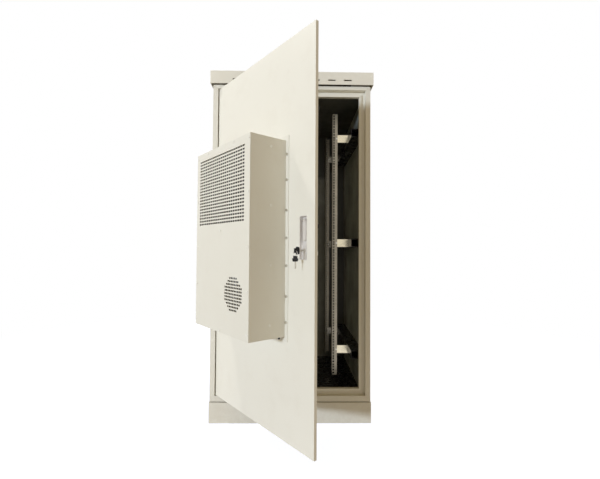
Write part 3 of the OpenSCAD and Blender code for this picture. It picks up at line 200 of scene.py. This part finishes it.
class Finish:
    """A material whose nodes are added one by one, fed by the piece's own coordinates."""

    def __init__(self, name, colour, roughness, metallic=0.0, specular=0.5):
        self.material = bpy.data.materials.new(name)
        self.material.use_nodes = True
        self.tree = self.material.node_tree
        self.shader = self.tree.nodes["Principled BSDF"]
        self.shader.inputs["Base Color"].default_value = shade(colour)
        self.shader.inputs["Roughness"].default_value = roughness
        self.shader.inputs["Metallic"].default_value = metallic
        self.shader.inputs["Specular IOR Level"].default_value = specular
        self.place = self.add("ShaderNodeTexCoord").outputs["Object"]
        self.bumped = None

    def add(self, kind, **settings):
        node = self.tree.nodes.new(kind)
        for key, value in settings.items():
            setattr(node, key, value)
        return node

    def link(self, source, target):
        self.tree.links.new(source, target)

    def stretched(self, scale):
        """The coordinates scaled by an amount for each axis."""
        mapping = self.add("ShaderNodeMapping")
        mapping.inputs["Scale"].default_value = scale
        self.link(self.place, mapping.inputs["Vector"])
        return mapping.outputs["Vector"]

    def coordinate(self, axis):
        """Where a point lies on an axis of the frame, X, Y or Z."""
        split = self.add("ShaderNodeSeparateXYZ")
        self.link(self.place, split.inputs["Vector"])
        return split.outputs[axis]

    def off_middle(self):
        """How far a point lies from the middle plane, on either side."""
        distance = self.add("ShaderNodeMath", operation="ABSOLUTE")
        self.link(self.coordinate("X"), distance.inputs[0])
        return distance.outputs[0]

    def crevice(self, distance):
        """0 in a tight corner and 1 in the open."""
        node = self.add("ShaderNodeAmbientOcclusion", samples=CORNER_SAMPLES)
        node.inputs["Distance"].default_value = distance
        return node.outputs["AO"]

    def noise(self, scale, detail=2.0, roughness=0.5, place=None):
        node = self.add("ShaderNodeTexNoise")
        node.inputs["Scale"].default_value = scale
        node.inputs["Detail"].default_value = detail
        node.inputs["Roughness"].default_value = roughness
        self.link(place or self.place, node.inputs["Vector"])
        return node.outputs["Fac"]

    def cells(self, scale, output):
        node = self.add("ShaderNodeTexVoronoi")
        node.inputs["Scale"].default_value = scale
        self.link(self.place, node.inputs["Vector"])
        return node.outputs[output]

    def remap(self, value, take, give=(0.0, 1.0)):
        """The value carried from one range to another, and held at the ends."""
        node = self.add("ShaderNodeMapRange")
        for name, number in zip(("From Min", "From Max", "To Min", "To Max"), (*take, *give)):
            node.inputs[name].default_value = number
        self.link(value, node.inputs["Value"])
        return node.outputs["Result"]

    def blend(self, factor, first, second):
        """Two colours, or links to colours, mixed by a factor that is a link."""
        node = self.add("ShaderNodeMix", data_type="RGBA")
        self.link(factor, node.inputs["Factor"])
        sockets = [socket for socket in node.inputs if socket.type == "RGBA"]
        for socket, value in zip(sockets, (first, second)):
            if isinstance(value, tuple):
                socket.default_value = value
            else:
                self.link(value, socket)
        return next(socket for socket in node.outputs if socket.type == "RGBA")

    def product(self, first, second):
        node = self.add("ShaderNodeMath", operation="MULTIPLY")
        self.link(first, node.inputs[0])
        self.link(second, node.inputs[1])
        return node.outputs[0]

    def colour(self, value):
        self.link(value, self.shader.inputs["Base Color"])

    def roughness(self, value):
        self.link(value, self.shader.inputs["Roughness"])

    def bump(self, height, strength, distance):
        """Adds a relief to those that are there already."""
        node = self.add("ShaderNodeBump")
        node.inputs["Strength"].default_value = strength
        node.inputs["Distance"].default_value = distance
        self.link(height, node.inputs["Height"])
        if self.bumped:
            self.link(self.bumped, node.inputs["Normal"])
        self.bumped = node.outputs["Normal"]
        self.link(self.bumped, self.shader.inputs["Normal"])


# Finishes

def powder_coat(name, colour):
    """Satin powder coat: orange peel, slow drift of tone, painted shade in corners in a dust colour, and
    dust near the ground.
    """
    finish = Finish(name, colour, roughness=0.45)
    drift = finish.remap(finish.noise(scale=1.7), take=(0.3, 0.7))
    tone = finish.blend(drift, shade(colour, 0.975), shade(colour, 1.012))
    clouds = finish.noise(scale=11.0, detail=6.0, roughness=0.62)
    tone = finish.blend(finish.remap(clouds, take=(0.52, 0.8), give=(0.0, 0.10)), tone, shade(DUST_AND_SHADE, 1.3))
    # Painted shade: tight corners are darkened towards a dust colour
    corner = finish.remap(finish.crevice(CORNER_REACH), take=(0.2, 0.8), give=(0.20, 0.0))
    tone = finish.blend(corner, tone, shade(DUST_AND_SHADE, 0.8))
    near_ground = finish.remap(finish.coordinate("Z"), take=SPLASH_HEIGHT, give=(0.30, 0.0))
    specks = finish.remap(finish.noise(scale=38.0, detail=5.0, roughness=0.65), take=(0.35, 0.75))
    finish.colour(finish.blend(finish.product(near_ground, specks), tone, shade(DUST_AND_SHADE, 1.2)))
    sheen = finish.noise(scale=6.0, detail=4.0, roughness=0.6)
    finish.roughness(finish.remap(sheen, take=(0.3, 0.7), give=(0.38, 0.52)))
    finish.bump(finish.noise(scale=9.0), strength=0.05, distance=0.002)
    finish.bump(finish.noise(scale=900.0, detail=1.5), strength=0.10, distance=0.0003)
    return finish.material


def galvanised(name, pale, deep):
    """Hot-dip zinc: spangles that differ in tone and gloss, and fine scratches along the sheet."""
    finish = Finish(name, pale, roughness=0.42, metallic=1.0)
    grey = finish.add("ShaderNodeRGBToBW")
    finish.link(finish.cells(scale=95.0, output="Color"), grey.inputs["Color"])
    spangle = grey.outputs["Val"]
    tone = finish.blend(finish.remap(spangle, take=(0.15, 0.85)), shade(deep), shade(pale))
    stain = finish.noise(scale=14.0, detail=5.0, roughness=0.6)
    stain = finish.remap(stain, take=(0.45, 0.75), give=(0.0, 0.45))
    finish.colour(finish.blend(stain, tone, shade(DUST_AND_SHADE, 1.1)))
    finish.roughness(finish.remap(spangle, take=(0.1, 0.9), give=(0.34, 0.55)))
    scratches = finish.noise(scale=60.0, detail=3.0, place=finish.stretched(SCRATCHES_UPRIGHT))
    finish.bump(scratches, strength=0.06, distance=0.0004)
    return finish.material


def foam(name, colour, spread=(0.75, 1.5), edges=None):
    """Closed-cell foam with a smooth skin, softly uneven.

    Where edges are given, it turns dark past them at the sides and on top, as painted shade.
    """
    finish = Finish(name, colour, roughness=0.5)
    patch = finish.remap(finish.noise(scale=5.0, detail=5.0, roughness=0.6), take=(0.3, 0.7))
    darker, lighter = spread
    tone = finish.blend(patch, shade(colour, darker), shade(colour, lighter))
    if edges:
        sides, top = edges
        # Painted shade: the foam turns to the dark foam colour past the side edges and above the top edge
        tone = finish.blend(finish.remap(finish.off_middle(), take=sides), tone, shade(FOAM_BLACK))
        tone = finish.blend(finish.remap(finish.coordinate("Z"), take=top), tone, shade(FOAM_BLACK))
    finish.colour(tone)
    streak = finish.noise(scale=4.0, detail=3.0, place=finish.stretched(STREAKS_UPRIGHT))
    finish.roughness(finish.remap(streak, take=(0.3, 0.7), give=(0.34, 0.56)))
    finish.bump(finish.noise(scale=7.0, detail=3.0), strength=0.25, distance=0.01)
    finish.bump(finish.cells(scale=420.0, output="Distance"), strength=0.12, distance=0.0006)
    return finish.material


def rubber(name, colour):
    """Soft rubber, dull and slightly dusty."""
    finish = Finish(name, colour, roughness=0.62)
    patch = finish.remap(finish.noise(scale=24.0, detail=5.0, roughness=0.6), take=(0.35, 0.7))
    finish.colour(finish.blend(patch, shade(colour, 0.8), shade(colour, 2.2)))
    finish.roughness(finish.remap(patch, take=(0.0, 1.0), give=(0.52, 0.74)))
    finish.bump(finish.noise(scale=700.0), strength=0.15, distance=0.0003)
    return finish.material


def brushed(name, colour, grain, roughness, metallic=1.0, rear=None):
    """Metal with a grain: colour and gloss vary across the brush lines.

    Where a rear colour is given, it takes over at the back of the cabinet, as painted shade.
    """
    finish = Finish(name, colour, roughness[0], metallic)
    lines = finish.noise(scale=1.0, detail=4.0, roughness=0.6, place=finish.stretched(grain))
    tone = finish.blend(lines, shade(colour, 0.82), shade(colour, 1.12))
    if rear:
        # Painted shade: the rear colour takes over behind the middle of the cabinet
        tone = finish.blend(finish.remap(finish.coordinate("Y"), take=BRACKET_SHADE_HALF), tone, shade(rear))
    finish.colour(tone)
    finish.roughness(finish.remap(finish.noise(scale=45.0, detail=4.0), take=(0.3, 0.7), give=roughness))
    finish.bump(lines, strength=0.06, distance=0.0002)
    return finish.material


def plastic(name, colour, roughness):
    """Moulded plastic or thick enamel with a fine grain."""
    finish = Finish(name, colour, roughness[0], specular=0.25)
    patch = finish.noise(scale=30.0, detail=4.0)
    finish.colour(finish.blend(patch, shade(colour, 0.75), shade(colour, 1.5)))
    finish.roughness(finish.remap(patch, take=(0.3, 0.7), give=roughness))
    finish.bump(finish.noise(scale=1500.0, detail=1.0), strength=0.12, distance=0.0002)
    return finish.material


def finned(name, colour):
    """Aluminium fin block: close vertical fins with darker bands between them."""
    finish = Finish(name, colour, roughness=0.5, metallic=0.7)
    wave = finish.add("ShaderNodeTexWave", wave_type="BANDS", bands_direction="X")
    wave.inputs["Scale"].default_value = FIN_WAVES
    finish.link(finish.place, wave.inputs["Vector"])
    fins = wave.outputs["Fac"]
    finish.colour(finish.blend(fins, shade(colour, 0.35), shade(colour, 1.1)))
    finish.roughness(finish.remap(finish.noise(scale=20.0, detail=3.0), take=(0.3, 0.7), give=(0.42, 0.6)))
    finish.bump(fins, strength=0.4, distance=0.001)
    return finish.material


# The finish of each material slot in the record
FINISHES = {
    "cabinet_paint": powder_coat("cabinet_powder_coat", CABINET_CREAM),
    "unit_paint": powder_coat("unit_powder_coat", UNIT_CREAM),
    "galvanised": galvanised("galvanised_sheet", ZINC_PALE, ZINC_DEEP),
    "dark_foam": foam("insulation_foam", FOAM_BLACK),
    "black_rubber": rubber("seal_rubber", RUBBER_BLACK),
    "zinc_steel": brushed("zinc_plated_steel", BOLT_STEEL, GRAIN_UPRIGHT, roughness=(0.28, 0.42)),
    "stainless": brushed(
        "satin_stainless", STAINLESS, GRAIN_FINE_UPRIGHT, roughness=(0.40, 0.55), metallic=0.6),
    "black_plastic": plastic("moulded_plastic", PLASTIC_BLACK, roughness=(0.36, 0.5)),
    "fin_aluminium": finned("coil_fins", FIN_GREY),
    "black_paint": plastic("black_enamel", ENAMEL_BLACK, roughness=(0.22, 0.34)),
    "copper": brushed("copper_tube", COPPER, GRAIN_EVEN, roughness=(0.25, 0.42)),
}

RAIL_ZINC = galvanised("rail_zinc", RAIL_PALE, RAIL_DEEP)
# Painted light: the powder coat in a lighter cream for the roof cap and the top of the frame
COAT_WITH_PAINTED_LIGHT = powder_coat("cap_powder_coat_painted_light", CREAM_WITH_PAINTED_LIGHT)

# Nodes with a finish of their own
NODE_FINISHES = {
    "rail_front_left": RAIL_ZINC,
    "rail_front_right": RAIL_ZINC,
    "rail_rear_left": RAIL_ZINC,
    "rail_rear_right": RAIL_ZINC,
    # The brackets: bright zinc, darkened at the back of the cabinet as painted shade
    "rail_brackets": brushed(
        "bright_zinc_painted_shade", BRIGHT_ZINC, GRAIN_LEVEL, roughness=(0.16, 0.28), rear=ZINC_IN_PAINTED_SHADE),
    # The rear and side foams are lighter than the dark foam as painted light; the rear one is darkened at
    # its sides and top as painted shade
    "rear_insulation": foam("rear_foam", FOAM_GREY_PAINTED_LIGHT, edges=(REAR_SHADE_SIDES, REAR_SHADE_TOP)),
    "side_insulation": foam("side_foam", FOAM_LIGHT_GREY_PAINTED_LIGHT),
    "door_liner": foam("door_foam", FOAM_PALE, spread=(0.95, 1.04)),
    "ac_cover_screws": brushed(
        "pale_zinc", SCREW_PALE, GRAIN_UPRIGHT, roughness=(0.30, 0.45), metallic=0.5),
    "roof_cap": COAT_WITH_PAINTED_LIGHT,
    "frame_top": COAT_WITH_PAINTED_LIGHT,
}


# Pieces

def paint(piece, node):
    """Gives a piece the finish of a node: its own, or that of its material slot in the record."""
    slot = SLOT_OF[node]
    piece.data.materials.clear()
    piece.data.materials.append(NODE_FINISHES.get(node, FINISHES[slot]))


def is_corner(edge):
    """Whether two faces meet at an edge at a sharp angle."""
    return len(edge.link_faces) == 2 and edge.calc_face_angle() > SHARP


def is_smooth(edge):
    """Whether two faces meet at an edge at a shallow angle."""
    return len(edge.link_faces) == 2 and edge.calc_face_angle() < SHARP


def rounded(node, radius, shortest=0.0):
    """A copy of a CAD node that stands for it, with its sharp edges rounded if longer than shortest."""
    shape = bmesh.new()
    shape.from_mesh(NODES[node].data)
    bmesh.ops.remove_doubles(shape, verts=shape.verts, dist=WELD)
    bmesh.ops.dissolve_limit(shape, angle_limit=FLAT, verts=shape.verts, edges=shape.edges)
    edges = [edge for edge in shape.edges if is_corner(edge) and edge.calc_length() > shortest]
    bmesh.ops.bevel(
        shape, geom=edges, offset=radius, segments=EDGE_SEGMENTS, profile=ROUND_PROFILE,
        affect="EDGES", clamp_overlap=True)
    for face in shape.faces:
        face.smooth = True
    for edge in shape.edges:
        edge.smooth = is_smooth(edge)
    mesh = bpy.data.meshes.new(node + "_finished")
    shape.to_mesh(mesh)
    shape.free()
    piece = bpy.data.objects.new(node + "_finished", mesh)
    bpy.context.scene.collection.objects.link(piece)
    normals = piece.modifiers.new("flat_faces_stay_flat", "WEIGHTED_NORMAL")
    normals.keep_sharp = True
    paint(piece, node)
    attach(piece, BODY_OF[node])
    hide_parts(node)


# Camera and light

def make_camera():
    """The camera turned by its yaw, then its pitch, then its roll."""
    flat_right = Vector((math.cos(CAMERA_YAW), math.sin(CAMERA_YAW), 0.0))
    level = Vector((-math.sin(CAMERA_YAW), math.cos(CAMERA_YAW), 0.0))
    vertical = Vector((0.0, 0.0, 1.0))
    forward = math.cos(CAMERA_PITCH) * level + math.sin(CAMERA_PITCH) * vertical
    flat_up = -math.sin(CAMERA_PITCH) * level + math.cos(CAMERA_PITCH) * vertical
    right = math.cos(CAMERA_ROLL) * flat_right + math.sin(CAMERA_ROLL) * flat_up
    up = -math.sin(CAMERA_ROLL) * flat_right + math.cos(CAMERA_ROLL) * flat_up
    data = bpy.data.cameras.new("camera")
    data.sensor_fit = "HORIZONTAL"
    data.sensor_width = SENSOR_WIDTH
    data.lens = SENSOR_WIDTH * FOCAL_PIXELS / IMAGE_WIDTH
    camera = bpy.data.objects.new("camera", data)
    axes = Matrix((right, up, -forward)).transposed()
    camera.matrix_world = Matrix.Translation(CAMERA_AT) @ axes.to_4x4()
    bpy.context.scene.collection.objects.link(camera)
    bpy.context.scene.camera = camera


def make_lamp(name, settings):
    """A disc some way off, or a sun where no distance is given, turned to the origin."""
    left, above = (math.radians(angle) for angle in settings["from"])
    towards = Vector((math.sin(left) * math.cos(above), math.cos(left) * math.cos(above), -math.sin(above)))
    if "away" in settings:
        data = bpy.data.lights.new(name, "AREA")
        data.shape = "DISK"
        data.size = settings["width"]
    else:
        data = bpy.data.lights.new(name, "SUN")
        data.angle = math.radians(settings["width"])
    data.energy = settings["strength"]
    data.color = settings["colour"]
    lamp = bpy.data.objects.new(name, data)
    lamp.location = -settings.get("away", 0.0) * towards
    lamp.rotation_euler = towards.to_track_quat("-Z", "Y").to_euler()
    lamp.visible_camera = False
    lamp.visible_glossy = settings.get("glint", True)
    bpy.context.scene.collection.objects.link(lamp)


def seen_directly(tree):
    """1 for rays that show the background: from the camera, a mirror or a glass."""
    path = tree.nodes.new("ShaderNodeLightPath")
    value = path.outputs["Is Camera Ray"]
    for name in ("Is Glossy Ray", "Is Transmission Ray"):
        either = tree.nodes.new("ShaderNodeMath")
        either.operation = "MAXIMUM"
        tree.links.new(value, either.inputs[0])
        tree.links.new(path.outputs[name], either.inputs[1])
        value = either.outputs[0]
    return value


def plain_shader(tree, kind, colour, strength=None):
    """A shader of one colour, with a strength if it gives light."""
    node = tree.nodes.new(kind)
    node.inputs["Color"].default_value = shade(colour)
    if strength is not None:
        node.inputs["Strength"].default_value = strength
    return node.outputs[0]


def mixed_shader(tree, factor, first, second):
    """The first shader where the factor is 0, and the second where it is 1."""
    node = tree.nodes.new("ShaderNodeMixShader")
    tree.links.new(factor, node.inputs["Fac"])
    tree.links.new(first, node.inputs[1])
    tree.links.new(second, node.inputs[2])
    return node.outputs[0]


def make_world():
    """Warm light from all round, behind a background that is white to the eye."""
    world = bpy.data.worlds.new("studio")
    bpy.context.scene.world = world
    world.use_nodes = True
    tree = world.node_tree
    tree.nodes.clear()
    ambient = plain_shader(tree, "ShaderNodeBackground", AMBIENT, AMBIENT_STRENGTH)
    white = plain_shader(tree, "ShaderNodeBackground", WHITE, WHITE_STRENGTH)
    output = tree.nodes.new("ShaderNodeOutputWorld")
    tree.links.new(mixed_shader(tree, seen_directly(tree), ambient, white), output.inputs["Surface"])


def far_from_origin(tree):
    """0 near the object and 1 beyond the reach of its shadow."""
    place = tree.nodes.new("ShaderNodeTexCoord")
    distance = tree.nodes.new("ShaderNodeVectorMath")
    distance.operation = "LENGTH"
    fade = tree.nodes.new("ShaderNodeMapRange")
    fade.interpolation_type = "SMOOTHSTEP"
    near, far = SHADOW_REACH
    fade.inputs["From Min"].default_value = near
    fade.inputs["From Max"].default_value = far
    tree.links.new(place.outputs["Object"], distance.inputs[0])
    tree.links.new(distance.outputs["Value"], fade.inputs["Value"])
    return fade.outputs["Result"]


def floor_material():
    """White to the eye but for the object's shadow, and pale in the light that it throws back."""
    material = bpy.data.materials.new("floor_white")
    material.use_nodes = True
    tree = material.node_tree
    tree.nodes.clear()
    pale = plain_shader(tree, "ShaderNodeBsdfDiffuse", FLOOR_PALE)
    shadowed = tree.nodes.new("ShaderNodeAddShader")
    tree.links.new(plain_shader(tree, "ShaderNodeBsdfDiffuse", FLOOR_SEEN), shadowed.inputs[0])
    tree.links.new(plain_shader(tree, "ShaderNodeEmission", WHITE, FLOOR_GLOW), shadowed.inputs[1])
    white = plain_shader(tree, "ShaderNodeEmission", WHITE, WHITE_STRENGTH)
    seen = mixed_shader(tree, far_from_origin(tree), shadowed.outputs[0], white)
    output = tree.nodes.new("ShaderNodeOutputMaterial")
    tree.links.new(mixed_shader(tree, seen_directly(tree), pale, seen), output.inputs["Surface"])
    return material


def make_floor():
    """A level floor under the object."""
    half = FLOOR_SIZE / 2
    corners = [(-half, -half, 0.0), (half, -half, 0.0), (half, half, 0.0), (-half, half, 0.0)]
    mesh = bpy.data.meshes.new("floor")
    mesh.from_pydata(corners, [], [(0, 1, 2, 3)])
    mesh.materials.append(floor_material())
    floor = bpy.data.objects.new("floor", mesh)
    bpy.context.scene.collection.objects.link(floor)


make_camera()
make_world()
make_floor()
for name, settings in LAMPS.items():
    make_lamp(name, settings)

for node, radius in ROUNDED_EDGES.items():
    rounded(node, radius)
rounded("ac_front_panel", EDGE_THIN, shortest=PANEL_OUTLINE)
for node in NODES:
    paint(NODES[node], node)

bpy.context.scene.view_settings.view_transform = "Standard"
